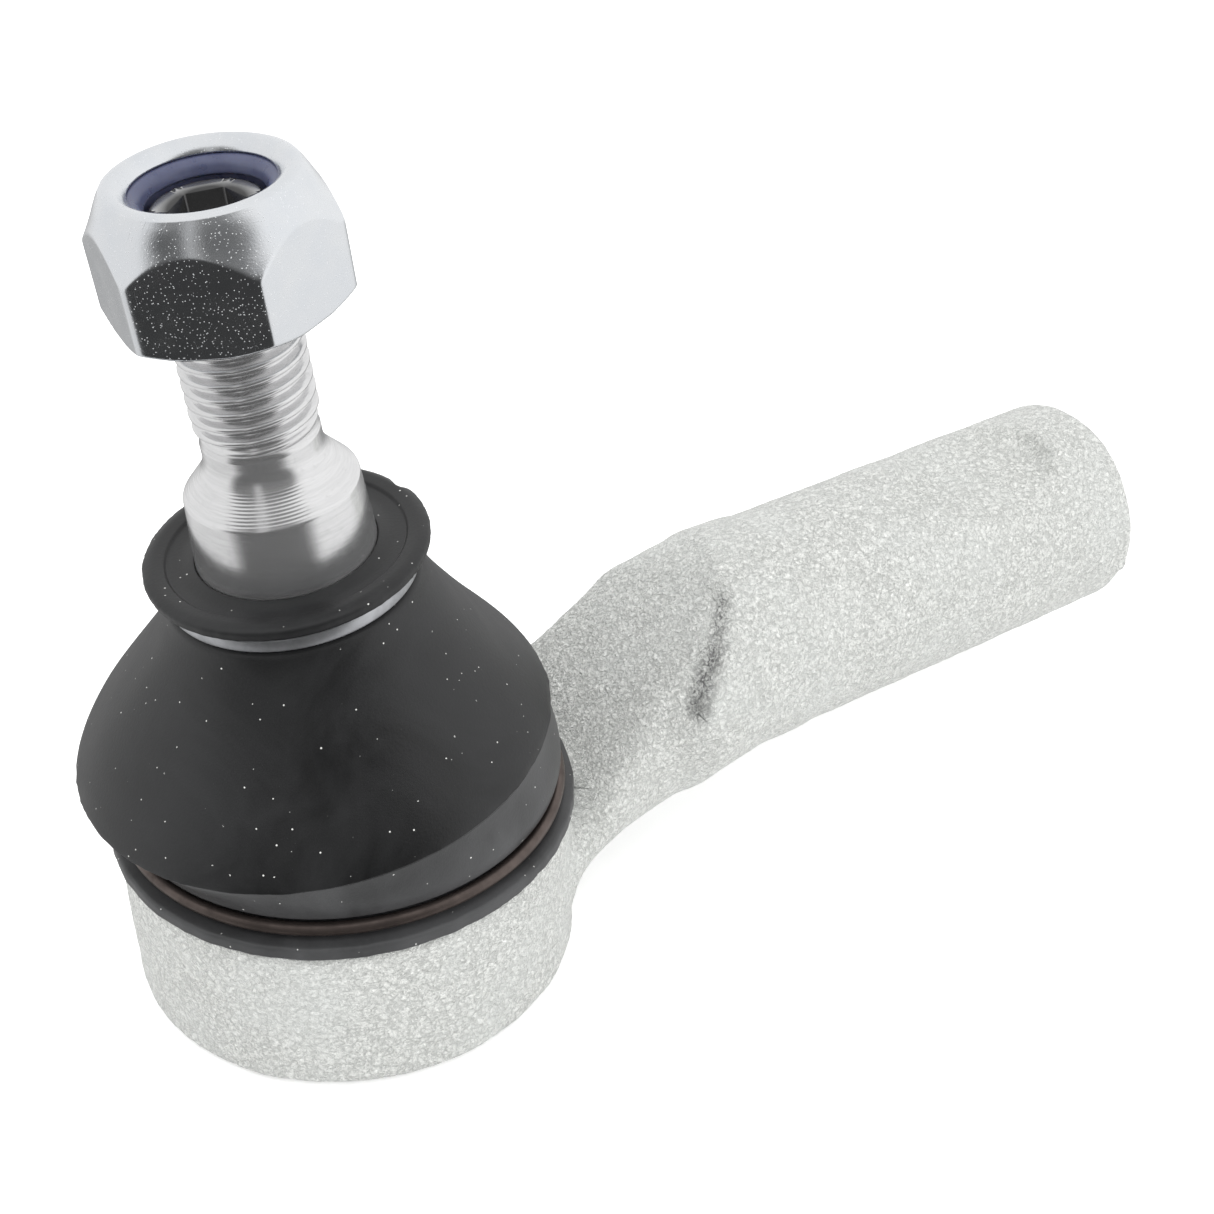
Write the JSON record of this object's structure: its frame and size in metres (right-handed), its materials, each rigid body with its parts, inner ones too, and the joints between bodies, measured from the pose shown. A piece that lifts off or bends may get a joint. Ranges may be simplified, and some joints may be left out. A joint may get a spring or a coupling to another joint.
{
  "type": "tie rod end",
  "caption": "Outer tie rod end: forged housing with a female-threaded shank, tapered ball stud under a rubber dust boot, and a nylon-ring locknut.",
  "frame": {"origin": "centre of the housing's flat underside, on the housing's axis", "axes": "+Z along the housing's axis, up towards the stud; +X along the shank, out of its threaded end"},
  "size_m": [0.1096, 0.0416, 0.0762],
  "materials": {
    "galvanised_forging": "rough zinc-coated forging",
    "pressed_plate": "zinc-plated pressing",
    "spring_steel": "oiled spring steel",
    "seat_plastic": "natural acetal",
    "stud_steel": "bright ground and rolled steel",
    "boot_rubber": "satin black",
    "ring_wire": "dark brown oiled wire",
    "ring_band": "bright drawn steel band",
    "bush_plastic": "black",
    "nut_zinc": "bright zinc plating",
    "insert_nylon": "blue nylon"
  },
  "bodies": {
    "housing": {"forged_housing": "galvanised_forging", "closing_plate": "pressed_plate", "preload_spring": "spring_steel", "lower_bearing_seat": "seat_plastic", "upper_bearing_seat": "seat_plastic", "lower_clamp_ring": "ring_wire"},
    "boot": {"dust_boot": "boot_rubber"},
    "collar": {"collar_bush": "bush_plastic", "upper_clamp_ring": "ring_band"},
    "stud": {"ball_stud": "stud_steel"},
    "nut_carrier": {"nylon_insert": "insert_nylon"},
    "nut": {"locknut": "nut_zinc"}
  },
  "joints": [
    {"name": "swing_along_shank", "type": "hinge", "parent": "housing", "child": "boot", "pos_m": [0, 0, 0.0157], "axis": [0, 1, 0], "range_deg": [-14.5, 25.5], "deforming": ["dust_boot"]},
    {"name": "swing_across_shank", "type": "hinge", "parent": "boot", "child": "collar", "pos_m": [0, 0, 0.0157], "axis": [0.9954, 0, 0.0958], "range_deg": [-20, 20]},
    {"name": "stud_spin", "type": "hinge", "parent": "collar", "child": "stud", "pos_m": [0, 0, 0.0157], "axis": [-0.0958, 0, 0.9954], "continuous": true},
    {"name": "nut_advance", "type": "slide", "parent": "stud", "child": "nut_carrier", "axis": [-0.0958, 0, 0.9954], "range_m": [-0.0101, 0.0076]},
    {"name": "nut_turn", "type": "hinge", "parent": "nut_carrier", "child": "nut", "pos_m": [-0.00476, 0, 0.06517], "axis": [-0.0958, 0, 0.9954], "range_deg": [-2880, 2160]}
  ],
  "couplings": [
    {"joint": "nut_advance", "follows": "nut_turn", "m_per_rad": 0.00019894}
  ]
}
